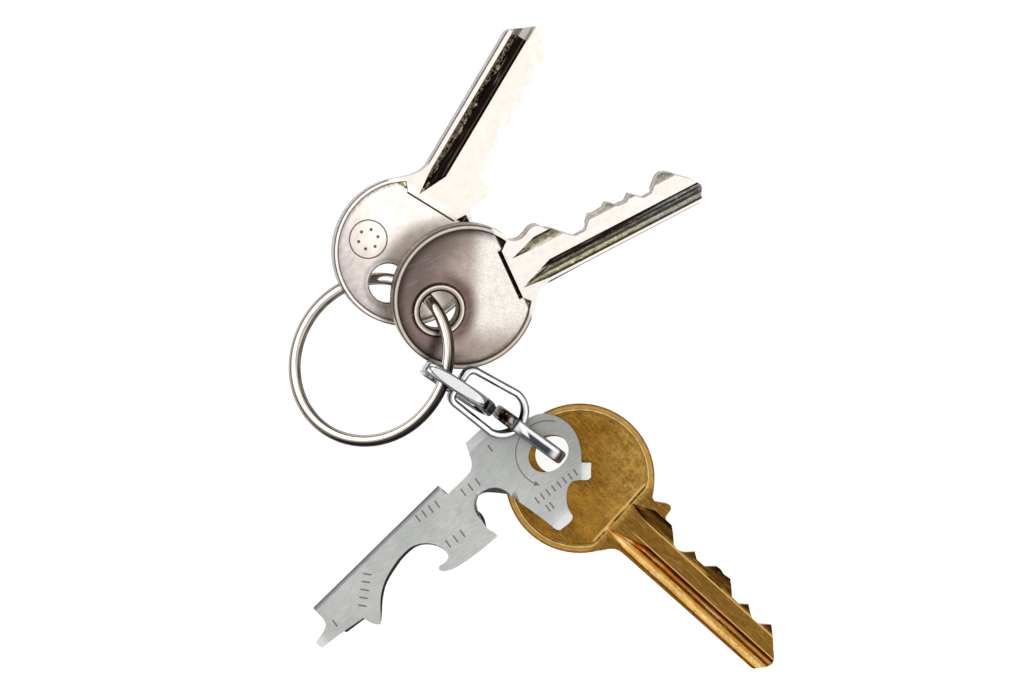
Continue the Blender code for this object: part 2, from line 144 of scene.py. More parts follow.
# Grooves are (profile of (y, depth), where it starts, length of its run-in, y of its point).
KEYS = {
    "rear_key": {
        "blade": REAR_BLADE, "bow_r": 12.6, "hole": (-6.2, 0.0, 3.3), "boss_r": 0.0,
        "field_r": 11.95, "field_x": 8.7, "field_y": (5.1, -4.3), "field_depth": 0.25, "edge": 0.12,
        "grooves": [([(0.85, 0.0), (1.1, 0.85), (2.3, 0.85), (3.2, 0.5), (3.75, 0.0)], 9.3, 5.0, 3.4)],
        "back_grooves": [([(-2.9, 0.0), (-2.6, 0.7), (-0.8, 0.7), (-0.5, 0.0)], 10.0, 5.0, -1.7)],
    },
    "front_key": {
        "blade": FRONT_BLADE, "bow_r": 12.45, "hole": (-4.9, 0.0, 3.35), "boss_r": 4.35,
        "field_r": 11.65, "field_x": 8.9, "field_y": (4.2, -4.8), "field_depth": 0.42, "edge": 0.22,
        "grooves": [
            ([(-3.85, 0.0), (-3.6, 0.5), (-3.0, 0.62), (-2.35, 0.4), (-1.95, 0.0)], 9.6, 5.0, -3.3),
            ([(-2.75, 0.0), (-2.35, 0.35), (-1.9, 0.8), (-1.2, 0.8), (-0.9, 0.0)], 10.2, 5.6, -3.1),
            ([(2.0, 0.0), (2.5, 0.45), (3.3, 0.7), (3.65, 0.7), (3.9, 0.0)], 9.9, 5.0, 2.1),
        ],
        "back_grooves": [([(0.1, 0.0), (0.4, 0.7), (1.2, 0.7), (1.5, 0.0)], 10.4, 5.0, 0.8)],
    },
    "brass_key": {
        "blade": BRASS_BLADE, "bow_r": 12.65, "hole": (-5.95, 0.0, 3.15), "boss_r": 0.0,
        "field_r": 11.55, "field_x": 9.5, "field_y": (6.2, -5.9), "field_depth": 0.2, "edge": 0.14,
        "grooves": [
            ([(-4.1, 0.0), (-3.85, 0.45), (-3.1, 0.62), (-2.4, 0.45), (-2.0, 0.0)], 8.8, 5.0, -3.3),
            ([(-2.8, 0.0), (-2.3, 0.45), (-1.9, 0.8), (-1.35, 0.75), (-0.85, 0.0)], 9.6, 7.0, -3.0),
            ([(2.15, 0.0), (2.45, 0.35), (3.2, 0.7), (4.2, 0.8), (4.5, 0.0)], 9.2, 4.0, 2.6),
        ],
        "back_grooves": [([(0.2, 0.0), (0.5, 0.7), (1.3, 0.7), (1.6, 0.0)], 10.4, 5.0, 0.9)],
    },
}


# ---------------------------------------------------------------- mesh helpers
def smooth_line(points, corner_deg=30.0, step=0.3, straight=5.0):
    """Curve through open outline points, which keeps sharp corners and long straight runs."""
    pts = [Vector(p) for p in points]
    n = len(pts)
    units = [(pts[i + 1] - pts[i]).normalized() for i in range(n - 1)]
    out = []
    for i in range(n - 1):
        a = pts[i]
        b = pts[i + 1]
        length = (b - a).length
        unit = units[i]
        start = unit
        end = unit
        if length < straight:
            if i > 0 and units[i - 1].angle(unit) < math.radians(corner_deg):
                start = (units[i - 1] + unit).normalized()
                if (pts[i] - pts[i - 1]).length >= straight:
                    start = units[i - 1]
            if i < n - 2 and unit.angle(units[i + 1]) < math.radians(corner_deg):
                end = (unit + units[i + 1]).normalized()
                if (pts[i + 2] - pts[i + 1]).length >= straight:
                    end = units[i + 1]
        count = 1
        if start is not unit or end is not unit:
            count = max(2, round(length / step))
        for k in range(count):
            t = k / count
            h1 = 2 * t ** 3 - 3 * t ** 2 + 1
            h2 = t ** 3 - 2 * t ** 2 + t
            h3 = 3 * t ** 2 - 2 * t ** 3
            h4 = t ** 3 - t ** 2
            p = a * h1 + start * length * h2 + b * h3 + end * length * h4
            out.append((p.x, p.y))
    out.append(tuple(pts[-1]))
    return out


def arc(cx, cy, rx, ry, steps, start=0.0, sweep=360.0):
    count = steps if abs(sweep) >= 360.0 else steps + 1
    points = []
    for i in range(count):
        a = math.radians(start + sweep * i / steps)
        points.append((cx + rx * math.cos(a), cy + ry * math.sin(a)))
    return points


# signs of x and y at each corner of a section, and where its rounding starts, in degrees
CORNERS = ((1, 1, 0.0), (-1, 1, 90.0), (-1, -1, 180.0), (1, -1, 270.0))


def loft(rings, close=True):
    """Closed body through rings of points, capped at both ends unless it runs round."""
    bm = bmesh.new()
    rows = []
    for ring in rings:
        rows.append([bm.verts.new(p) for p in ring])
    n = len(rows[0])
    for near, far in zip(rows, rows[1:]):
        for k in range(n):
            m = (k + 1) % n
            bm.faces.new((near[k], near[m], far[m], far[k]))
    if close:
        bm.faces.new(list(reversed(rows[0])))
        bm.faces.new(rows[-1])
    return bm


def prism(low, z0, z1, top=None):
    top = top or low
    return loft([[(x, y, z0) for x, y in low], [(x, y, z1) for x, y in top]])


def to_object(name, bm):
    bmesh.ops.recalc_face_normals(bm, faces=bm.faces[:])
    bmesh.ops.scale(bm, vec=(MM, MM, MM), verts=bm.verts[:])
    me = bpy.data.meshes.new(name)
    bm.to_mesh(me)
    bm.free()
    ob = bpy.data.objects.new(name, me)
    bpy.context.scene.collection.objects.link(ob)
    return ob


def carve(ob, cutters):
    """Cut or join other bodies and keep only the result."""
    tools = []
    for bm, operation in cutters:
        tool = to_object(ob.name + "_cutter", bm)
        mod = ob.modifiers.new("carve", "BOOLEAN")
        mod.operation = operation
        mod.solver = "EXACT"
        mod.object = tool
        tools.append(tool)
    depsgraph = bpy.context.evaluated_depsgraph_get()
    me = bpy.data.meshes.new_from_object(ob.evaluated_get(depsgraph))
    ob.modifiers.clear()
    ob.data = me
    for tool in tools:
        bpy.data.objects.remove(tool, do_unlink=True)


def finish_piece(ob, name, mat, bevel_mm, segments=2):
    """Give the piece its metal, soften its edges, lay it in place, and let it ride its body."""
    me = ob.data
    me.materials.clear()
    me.materials.append(mat)
    me.shade_smooth()
    if bevel_mm > 0.0:
        mod = ob.modifiers.new("edges", "BEVEL")
        mod.width = bevel_mm * MM
        mod.segments = segments
        mod.limit_method = "ANGLE"
        mod.angle_limit = math.radians(28.0)
        mod.miter_outer = "MITER_ARC"
        mod.harden_normals = False
    mod = ob.modifiers.new("normals", "WEIGHTED_NORMAL")
    mod.weight = 80
    mod.keep_sharp = True
    position, angles = PLACE[name]
    turn = Matrix.Rotation(math.radians(angles[2]), 4, "Z")
    turn = turn @ Matrix.Rotation(math.radians(angles[1]), 4, "Y")
    turn = turn @ Matrix.Rotation(math.radians(angles[0]), 4, "X")
    move = Matrix.Translation([(position[i] + CENTRE[i]) * MM for i in range(3)])
    me.transform(move @ turn)
    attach(ob, name)
    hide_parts(name)


# ---------------------------------------------------------------- shader helpers
def linear(r, g, b):
    """Screen colour, 0 to 255, as scene colour."""
    out = []
    for c in (r, g, b):
        c = c / 255.0
        out.append(c / 12.92 if c <= 0.04045 else ((c + 0.055) / 1.055) ** 2.4)
    return (out[0], out[1], out[2], 1.0)


class Metal:
    """A procedural metal, drawn in the piece's own millimetres."""

    def __init__(self, name, rough, piece):
        self.mat = bpy.data.materials.new(name)
        self.mat.use_nodes = True
        self.nodes = self.mat.node_tree.nodes
        self.links = self.mat.node_tree.links
        self.bsdf = self.nodes["Principled BSDF"]
        self.bsdf.inputs["Metallic"].default_value = 1.0
        self.bsdf.inputs["Roughness"].default_value = rough
        coord = self.nodes.new("ShaderNodeTexCoord")
        scale = self.nodes.new("ShaderNodeVectorMath")
        scale.operation = "SCALE"
        scale.inputs["Scale"].default_value = 1000.0
        position, angles = PLACE[piece]
        corner = [(position[i] + CENTRE[i]) * MM for i in range(3)]
        self.links.new(self.unplace(coord.outputs["Object"], corner, angles), scale.inputs[0])
        self.mm = scale.outputs[0]
        self.x, self.y, self.z = self.split(self.mm)
        facing = self.unplace(coord.outputs["Normal"], (0.0, 0.0, 0.0), angles)
        self.nz = self.split(facing)[2]
        self.bumps = []

    def unplace(self, vector, position, angles):
        """Vector as it is in the piece's own flat frame, before the piece was laid down."""
        node = self.nodes.new("ShaderNodeMapping")
        node.vector_type = "TEXTURE"
        node.inputs["Location"].default_value = position
        node.inputs["Rotation"].default_value = [math.radians(a) for a in angles]
        self.links.new(vector, node.inputs["Vector"])
        return node.outputs[0]

    def split(self, vector):
        node = self.nodes.new("ShaderNodeSeparateXYZ")
        self.links.new(vector, node.inputs[0])
        return node.outputs[0], node.outputs[1], node.outputs[2]

    def put(self, value, socket):
        if isinstance(value, bpy.types.NodeSocket):
            self.links.new(value, socket)
        else:
            socket.default_value = value

    def math(self, operation, *values):
        node = self.nodes.new("ShaderNodeMath")
        node.operation = operation
        for i, value in enumerate(values):
            self.put(value, node.inputs[i])
        return node.outputs[0]

    def between(self, value, low, high, out_low=0.0, out_high=1.0):
        node = self.nodes.new("ShaderNodeMapRange")
        node.interpolation_type = "SMOOTHSTEP"
        self.put(value, node.inputs["Value"])
        node.inputs["From Min"].default_value = low
        node.inputs["From Max"].default_value = high
        node.inputs["To Min"].default_value = out_low
        node.inputs["To Max"].default_value = out_high
        return node.outputs[0]

    def fade(self, value, low, high):
        """1 up to low, falling to 0 at high."""
        return self.between(value, low, high, 1.0, 0.0)

    def times(self, value, *others):
        """Product of masks and numbers."""
        for other in others:
            value = self.math("MULTIPLY", value, other)
        return value

    def line(self, value, factor, extra):
        """value * factor + extra"""
        return self.math("MULTIPLY_ADD", value, factor, extra)

    def band(self, value, low, high, soft):
        """1 from low to high, 0 outside."""
        rise = self.between(value, low - soft, low + soft)
        fall = self.fade(value, high - soft, high + soft)
        return self.times(rise, fall)

    def radius(self, cx, cy):
        dx = self.math("SUBTRACT", self.x, cx)
        dy = self.math("SUBTRACT", self.y, cy)
        xx = self.times(dx, dx)
        return self.math("SQRT", self.math("MULTIPLY_ADD", dy, dy, xx))

    def noise(self, scale, detail=4.0, rough=0.6, stretch=(1.0, 1.0, 1.0), turn=0.0, shift=0.0):
        place = self.nodes.new("ShaderNodeMapping")
        place.inputs["Scale"].default_value = stretch
        place.inputs["Rotation"].default_value = (0.0, 0.0, math.radians(turn))
        place.inputs["Location"].default_value = (shift, shift * 0.7, shift * 1.3)
        self.links.new(self.mm, place.inputs["Vector"])
        node = self.nodes.new("ShaderNodeTexNoise")
        node.inputs["Scale"].default_value = scale
        node.inputs["Detail"].default_value = detail
        node.inputs["Roughness"].default_value = rough
        self.links.new(place.outputs[0], node.inputs["Vector"])
        return node.outputs["Fac"]

    def mix(self, factor, a, b):
        node = self.nodes.new("ShaderNodeMix")
        node.data_type = "RGBA"
        self.put(factor, node.inputs["Factor"])
        self.put(a, node.inputs[6])
        self.put(b, node.inputs[7])
        return node.outputs[2]

    def paint(self, color, mask, strength, r, g, b):
        """Colour with a screen colour laid over it, where the mask is and as strong as given."""
        return self.mix(self.times(mask, strength), color, linear(r, g, b))

    def ramp(self, value, stops):
        """Colour that runs through (value, red, green, blue) stops."""
        low = stops[0][0]
        span = stops[-1][0] - low
        node = self.nodes.new("ShaderNodeValToRGB")
        elements = node.color_ramp.elements
        while len(elements) < len(stops):
            elements.new(1.0)
        for element, (place, r, g, b) in zip(elements, stops):
            element.position = (place - low) / span
            element.color = linear(r, g, b)
        self.put(self.math("DIVIDE", self.math("SUBTRACT", value, low), span), node.inputs[0])
        return node.outputs[0]

    def bump(self, height, strength, depth_mm):
        node = self.nodes.new("ShaderNodeBump")
        node.inputs["Strength"].default_value = strength
        node.inputs["Distance"].default_value = depth_mm * MM
        self.links.new(height, node.inputs["Height"])
        if self.bumps:
            self.links.new(self.bumps[-1], node.inputs["Normal"])
        self.bumps.append(node.outputs[0])

    def scratches(self, turn, scale, low, high, shift=0.0):
        """Fine straight scratches that run one way."""
        lines = self.noise(scale, 2.0, 0.5, (0.05, 1.0, 1.0), turn, shift)
        return self.between(lines, low, high)

    def wall(self, low, high):
        """1 on the piece's side walls, 0 on its flat faces."""
        return self.fade(self.math("ABSOLUTE", self.nz), low, high)

    def done(self, color, rough=None):
        self.put(color, self.bsdf.inputs["Base Color"])
        if rough is not None:
            self.put(rough, self.bsdf.inputs["Roughness"])
        if self.bumps:
            self.links.new(self.bumps[-1], self.bsdf.inputs["Normal"])
        return self.mat


# ---------------------------------------------------------------- materials
def ring_metal():
    m = Metal("polished_nickel", 0.14, "split_ring")
    radius = m.radius(0.0, 0.0)
    # painted reflection: bands of highlight and shade across the wire by radius, dark at its inner and
    # outer edges
    color = m.ramp(radius, [
        (13.05, 62, 54, 46), (13.22, 150, 140, 128), (13.4, 214, 206, 194), (13.75, 250, 247, 241),
        (14.12, 238, 233, 225), (14.26, 132, 116, 100), (14.4, 206, 198, 186),
        (14.68, 176, 166, 154), (14.84, 62, 54, 47), (15.0, 38, 33, 29),
    ])
    blotch = m.noise(0.35, 3.0, 0.5)
    color = m.mix(m.between(blotch, 0.35, 0.7, 0.0, 0.35), color, linear(188, 176, 160))
    side = m.line(m.y, -0.0324, m.times(m.x, 0.0636))
    shaded = m.times(m.between(side, 0.3, 0.75), m.between(radius, 14.3, 14.5))
    color = m.paint(color, shaded, 0.9, 32, 27, 24)
    seam = m.band(m.z, -0.07, 0.07, 0.04)
    color = m.paint(color, seam, 0.85, 50, 42, 34)
    fine = m.scratches(20.0, 5.0, 0.55, 0.75)
    rough = m.between(fine, 0.0, 1.0, 0.12, 0.24)
    m.bump(m.noise(2.5, 3.0, 0.5), 0.12, 0.05)
    return m.done(color, rough)


def chrome(name, piece):
    """Chromed link. A standing link has its side faces across Z, the flat one in the plane."""
    m = Metal(name, 0.08, piece)
    blotch = m.noise(0.5, 3.0, 0.5)
    color = m.mix(m.between(blotch, 0.35, 0.7), linear(172, 174, 178), linear(208, 209, 212))
    rough = m.between(m.noise(6.0, 3.0, 0.6), 0.4, 0.75, 0.07, 0.2)
    pits = m.between(m.noise(2.6, 5.0, 0.7, shift=4.0), 0.46, 0.6)
    dark = linear(34, 33, 36)
    across = m.math("ABSOLUTE", m.nz)
    if piece == "middle_link":
        # painted highlight along the wire's crest, and painted shade on its flanks
        crest_highlight = m.between(across, 0.9, 0.97)
        color = m.paint(color, crest_highlight, 0.9, 252, 252, 250)
        outline = m.fade(across, 0.5, 0.86)
        color = m.mix(m.times(outline, 0.88), color, dark)
        return m.done(color, rough)
    if piece == "ring_link":
        along = m.math("DIVIDE", m.math("ADD", m.x, 0.6), 5.3)
        width = m.math("DIVIDE", m.z, 0.86)
        field = m.line(width, width, m.times(along, along))
        up = m.between(m.y, 2.2, 2.8)
        inside = m.times(m.fade(field, 0.94, 1.0), up)
        rim = m.times(m.band(field, 1.0, 1.2, 0.05), up)
        # painted shade on the far end, mottled by pits; a painted dark line round the flat face, and
        # the flat face painted near white as a highlight, made less metallic
        far = m.times(m.between(m.x, 4.6, 5.2), m.between(pits, 0.0, 1.0, 1.0, 0.8))
        color = m.paint(color, far, 0.95, 42, 36, 33)
        color = m.paint(color, rim, 0.85, 70, 72, 76)
        color = m.mix(inside, color, linear(250, 250, 248))
        dots = m.between(m.noise(5.0, 2.0, 0.6, shift=4.0), 0.6, 0.66)
        dots = m.times(dots, inside, 0.45)
        color = m.mix(dots, color, linear(140, 140, 140))
        m.put(m.math("SUBTRACT", 1.0, m.times(inside, 0.9)), m.bsdf.inputs["Metallic"])
    else:
        # painted shade over the far end, mottled by pits
        far = m.between(m.x, 3.2, 3.7)
        wear_and_shade = m.mix(pits, linear(44, 36, 32), linear(158, 142, 130))
        color = m.mix(m.times(far, 0.95), color, wear_and_shade)
        # painted reflection: a dark band along the bar
        stripe = m.times(m.band(m.z, -0.85, 0.22, 0.16), m.band(m.x, -4.6, 1.9, 0.7))
        color = m.paint(color, stripe, 0.93, 30, 31, 40)
        # painted highlight: a white streak along the bar, made less metallic
        lean = m.line(m.z, -1.2, m.x)
        shine = m.times(m.band(m.z, -0.45, 0.85, 0.15), m.band(lean, 0.6, 2.1, 0.35))
        streak = m.times(m.band(m.z, 0.3, 0.8, 0.12), m.band(m.x, -5.0, 2.4, 0.6))
        shine = m.math("MAXIMUM", shine, m.times(streak, 0.75))
        color = m.mix(shine, color, linear(255, 255, 255))
        m.put(m.math("SUBTRACT", 1.0, m.times(shine, 0.8)), m.bsdf.inputs["Metallic"])
        end = m.fade(m.x, -5.9, -5.2)
        color = m.paint(color, end, 0.85, 112, 88, 74)
        # painted shade: a dark band where the far end begins
        turn_shade = m.band(m.x, 3.0, 3.4, 0.12)
        color = m.mix(m.times(turn_shade, 0.9), color, dark)
    # painted shade on the side faces across Z
    outline = m.between(across, 0.6, 0.92)
    color = m.mix(m.times(outline, 0.88), color, dark)
    m.bump(m.noise(1.2, 2.0, 0.5), 0.25, 0.08)
    return m.done(color, rough)


def edge_tone(m, dark, light):
    """Colour of a side wall, painted shade: dark by the faces, where the edge rounds over, lighter
    between.
    """
    near = m.between(m.math("ABSOLUTE", m.z), 0.6, 1.02)
    file_marks = m.between(m.noise(4.0, 3.0, 0.6, (1.0, 1.0, 0.05)), 0.35, 0.65, 0.0, 0.45)
    return m.mix(near, m.mix(file_marks, light, dark), dark)


def key_base(m, spec, plain, wear_and_shade, grime_and_shade):
    """Shared look of a key: blotches of wear, and painted shade flecked with dirt along the rim of its
    field.
    """
    blotch = m.noise(0.22, 5.0, 0.6)
    color = m.mix(m.between(blotch, 0.38, 0.64), plain, wear_and_shade)
    radius = m.radius(0.0, 0.0)
    # painted shade along the inside of the field's rim, flecked with dirt
    ring = m.band(radius, spec["field_r"] - 0.55, spec["field_r"] + 0.05, 0.35)
    on_bow = m.fade(m.x, spec["field_x"] - 0.4, spec["field_x"] + 0.3)
    ring = m.times(ring, on_bow)
    speck = m.between(m.noise(1.6, 5.0, 0.7, shift=7.0), 0.3, 0.7, 0.35, 1.0)
    color = m.mix(m.times(ring, speck, 0.8), color, grime_and_shade)
    return color, radius, on_bow


def deep(m):
    """1 inside the grooves of the blade, 0 on its faces and side walls."""
    depth = m.math("SUBTRACT", KEY_HALF, m.math("ABSOLUTE", m.z))
    blade = m.between(m.x, 8.8, 9.2)
    inside = m.times(m.between(depth, 0.08, 0.2), blade)
    return m.times(inside, m.between(m.math("ABSOLUTE", m.nz), 0.1, 0.22))


def rear_metal():
    spec = KEYS["rear_key"]
    m = Metal("worn_nickel_pale", 0.3, "rear_key")
    color, radius, on_bow = key_base(
        m, spec, linear(236, 227, 220), linear(246, 240, 234), linear(96, 78, 70)
    )
    # painted shade: darker towards the lower left
    low_left = m.fade(m.line(m.y, -0.55, m.x), -15.0, -1.5)
    soft = m.between(m.noise(0.9, 5.0, 0.65, shift=9.0), 0.3, 0.7, 0.7, 1.0)
    color = m.paint(color, low_left, soft, 166, 156, 155)
    by_hole = m.radius(*spec["hole"][:2])
    # a soft darker ring round the hole, and painted shade on the hole's lip
    color = m.paint(color, m.band(by_hole, 3.7, 4.3, 0.3), 0.35, 120, 102, 94)
    color = m.paint(color, m.band(by_hole, 3.3, 3.52, 0.05), 0.85, 58, 46, 42)
    stamped = m.radius(*STAMP)
    dark = m.math("MAXIMUM", m.band(stamped, 3.08, 3.4, 0.08), m.band(stamped, 1.35, 2.05, 0.1))
    low = m.fade(m.math("ABSOLUTE", m.z), 0.78, 0.84)
    near = m.fade(stamped, 3.5, 3.6)
    dark = m.times(dark, low, near)
    color = m.paint(color, dark, 0.9, 60, 48, 42)
    # painted highlight and shade across the rounded rim: dark inner line, bright crest, dark outer
    # edge
    rim = m.ramp(radius, [
        (11.84, 78, 64, 58), (11.98, 170, 160, 154), (12.15, 246, 242, 238), (12.36, 236, 230, 225),
        (12.44, 110, 96, 90), (12.52, 46, 38, 36),
    ])
    on_rim = m.times(m.between(radius, 11.84, 11.9), on_bow)
    color = m.mix(m.times(on_rim, 0.9), color, rim)
    top, bottom = spec["field_y"]
    # painted shade on the step down into the field
    step = m.band(m.x, spec["field_x"] - 0.25, spec["field_x"] + 0.05, 0.05)
    step = m.times(step, m.band(m.y, bottom - 0.1, top + 0.1, 0.1))
    color = m.paint(color, step, 0.9, 52, 42, 38)
    blade = m.between(m.x, 9.4, 10.4)
    color = m.paint(color, blade, 0.9, 228, 219, 211)
    # painted reflection: a dark bluish line along the blade's upper edge
    spine = m.times(m.between(m.y, 4.42, 4.52), m.between(m.x, 14.0, 15.0))
    color = m.paint(color, spine, 0.9, 44, 44, 60)
    # side walls painted darker, as shade
    wall_tone = edge_tone(m, linear(74, 66, 64), linear(196, 190, 184))
    color = m.mix(m.times(m.wall(0.5, 0.95), 0.9), color, wall_tone)
    spread = m.between(m.noise(0.5, 2.0, 0.5, shift=2.0), 0.3, 0.7, -0.35, 0.35)
    pits = m.between(m.noise(1.5, 6.0, 0.85), 0.47, 0.52)
    upper = m.between(m.math("ADD", m.y, spread), 2.55, 2.75)
    crumbs = m.between(m.noise(2.2, 4.0, 0.7, shift=8.0), 0.4, 0.6)
    crust = m.mix(crumbs, linear(168, 136, 90), linear(244, 232, 206))
    gold = m.mix(m.times(pits, upper), linear(20, 15, 13), crust)
    brown = m.band(m.y, 0.95, 1.3, 0.12)
    gold = m.paint(gold, brown, 0.6, 92, 74, 62)
    color = m.mix(deep(m), color, gold)
    facet = m.times(m.between(m.x, 41.1, 41.3), m.between(m.y, 0.5, 0.8))
    color = m.paint(color, facet, 0.95, 172, 166, 162)
    fine = m.scratches(30.0, 3.0, 0.6, 0.72)
    color = m.paint(color, fine, 0.12, 255, 250, 244)
    rough = m.between(m.noise(0.8, 4.0, 0.6, shift=3.0), 0.35, 0.7, 0.27, 0.36)
    m.bump(m.noise(6.0, 5.0, 0.65), 0.12, 0.02)
    m.bump(fine, 0.08, 0.02)
    return m.done(color, rough)


def front_metal():
    spec = KEYS["front_key"]
    m = Metal("worn_nickel_warm", 0.3, "front_key")
    color, radius, on_bow = key_base(
        m, spec, linear(174, 158, 147), linear(190, 174, 162), linear(56, 44, 38)
    )
    right = m.line(m.y, -0.52, m.x)
    up = m.line(m.x, 0.52, m.y)
    grain = m.between(m.noise(2.2, 6.0, 0.7, shift=9.0), 0.3, 0.7, 0.82, 1.0)
    # painted shade, darker towards the left
    left = m.fade(right, -10.0, 1.0)
    color = m.paint(color, left, grain, 142, 126, 123)
    # painted highlight, a bright band across the bow
    light = m.times(m.between(right, 0.0, 4.2), m.between(up, -10.0, -4.0))
    color = m.paint(color, light, grain, 255, 249, 241)
    # painted shade, darker towards the top
    upper = m.between(m.line(m.x, -0.35, m.y), 3.5, 11.0)
    color = m.paint(color, upper, 0.7, 84, 73, 70)
    speckle = m.between(m.noise(3.4, 6.0, 0.8, shift=5.0), 0.42, 0.6)
    color = m.paint(color, speckle, 0.25, 104, 88, 80)
    by_hole = m.radius(*spec["hole"][:2])
    halo = m.band(by_hole, 4.2, 6.4, 1.3)
    ahead = m.between(m.line(m.y, -0.3, m.x), -5.0, -1.0, 0.4, 1.0)
    color = m.paint(color, m.times(halo, ahead), 0.9, 98, 72, 68)
    # painted highlight and shade round the boss: dark lip, bright ring, dark edge
    boss = m.ramp(by_hole, [
        (3.35, 28, 20, 18), (3.6, 44, 33, 29), (3.74, 150, 133, 122), (3.98, 186, 172, 160),
        (4.12, 238, 228, 216), (4.26, 226, 215, 203), (4.36, 74, 60, 53), (4.5, 44, 34, 30),
        (4.7, 64, 48, 44), (5.0, 98, 72, 68),
    ])
    color = m.mix(m.fade(by_hole, 4.6, 4.95), color, boss)
    edge = m.between(radius, 9.9, 11.6)
    up_left = m.between(m.line(m.x, -0.5, m.y), -6.0, 6.0)
    shade = m.times(edge, on_bow, up_left)
    color = m.paint(color, shade, 0.8, 48, 38, 34)
    # painted highlight and shade across the rounded rim
    rim = m.ramp(radius, [
        (11.5, 44, 35, 31), (11.66, 84, 72, 64), (11.84, 186, 174, 162), (12.02, 226, 216, 204),
        (12.2, 176, 163, 150), (12.32, 84, 71, 62), (12.45, 38, 31, 27),
    ])
    on_rim = m.times(m.between(radius, 11.5, 11.56), on_bow)
    color = m.mix(m.times(on_rim, 0.92), color, rim)
    blade = m.between(m.x, 9.0, 9.3)
    color = m.paint(color, blade, 0.95, 243, 236, 229)
    # painted shade along the blade's lower edge
    lower_edge = m.times(m.fade(m.y, -4.36, -4.26), m.between(m.x, 13.5, 14.5))
    color = m.paint(color, lower_edge, 0.9, 48, 42, 40)
    # side walls painted darker, as shade
    wall_tone = edge_tone(m, linear(58, 50, 45), linear(172, 163, 154))
    color = m.mix(m.times(m.wall(0.5, 0.95), 0.9), color, wall_tone)
    # painted shade: the step down into the field drawn black
    step = m.times(m.band(m.x, 8.25, 9.05, 0.08), m.band(m.y, -5.0, 4.4, 0.2))
    step = m.times(step, m.fade(m.math("ABSOLUTE", m.z), 1.0, 1.09))
    color = m.mix(step, color, linear(20, 15, 13))
    wander = m.between(m.noise(0.9, 4.0, 0.7, (0.35, 1.0, 1.0)), 0.3, 0.7, -0.22, 0.22)
    y = m.math("ADD", m.y, wander)
    # painted highlight and shade: bands of light and dark across the grooves
    groove = m.ramp(y, [
        (-3.95, 84, 76, 54), (-3.6, 128, 120, 90), (-3.1, 186, 180, 150), (-2.7, 150, 142, 112),
        (-2.4, 206, 201, 184), (-2.15, 120, 110, 90), (-1.9, 84, 74, 60), (-1.0, 70, 62, 50),
        (0.0, 120, 112, 96), (2.0, 226, 221, 208), (2.4, 176, 168, 138), (2.9, 128, 120, 90),
        (3.4, 110, 102, 80), (3.9, 96, 88, 70),
    ])
    cool = m.between(m.x, 24.0, 40.0, 0.0, 0.6)
    groove = m.mix(cool, groove, linear(140, 146, 146))
    grit = m.between(m.noise(1.6, 6.0, 0.85, (0.5, 1.0, 1.0), shift=3.0), 0.5, 0.58)
    groove = m.paint(groove, grit, 0.6, 70, 57, 36)
    salt = m.between(m.noise(1.9, 6.0, 0.85, (0.6, 1.0, 1.0), shift=13.0), 0.56, 0.62)
    groove = m.paint(groove, salt, 0.7, 240, 236, 220)
    # painted shade: the groove walls drawn black
    thin = m.between(m.x, 26.0, 42.0, -1.95, -1.5)
    upper_wall = m.between(m.math("SUBTRACT", m.y, thin), -0.12, 0.15)
    upper_wall = m.times(upper_wall, m.fade(m.y, 0.0, 1.0))
    tooth_wall = m.between(y, 3.05, 3.45)
    black = m.math("MAXIMUM", upper_wall, tooth_wall)
    groove = m.paint(groove, black, 0.96, 24, 19, 16)
    color = m.mix(deep(m), color, groove)
    # painted light: faces turned down are made pale
    under = m.fade(m.nz, -0.6, -0.3)
    color = m.paint(color, under, 0.8, 236, 231, 226)
    fine = m.scratches(-20.0, 3.0, 0.6, 0.7)
    color = m.paint(color, fine, 0.1, 240, 230, 222)
    rough = m.between(m.noise(0.8, 4.0, 0.6, shift=3.0), 0.35, 0.7, 0.26, 0.36)
    m.bump(m.noise(6.0, 5.0, 0.65), 0.15, 0.02)
    m.bump(fine, 0.08, 0.02)
    return m.done(color, rough)


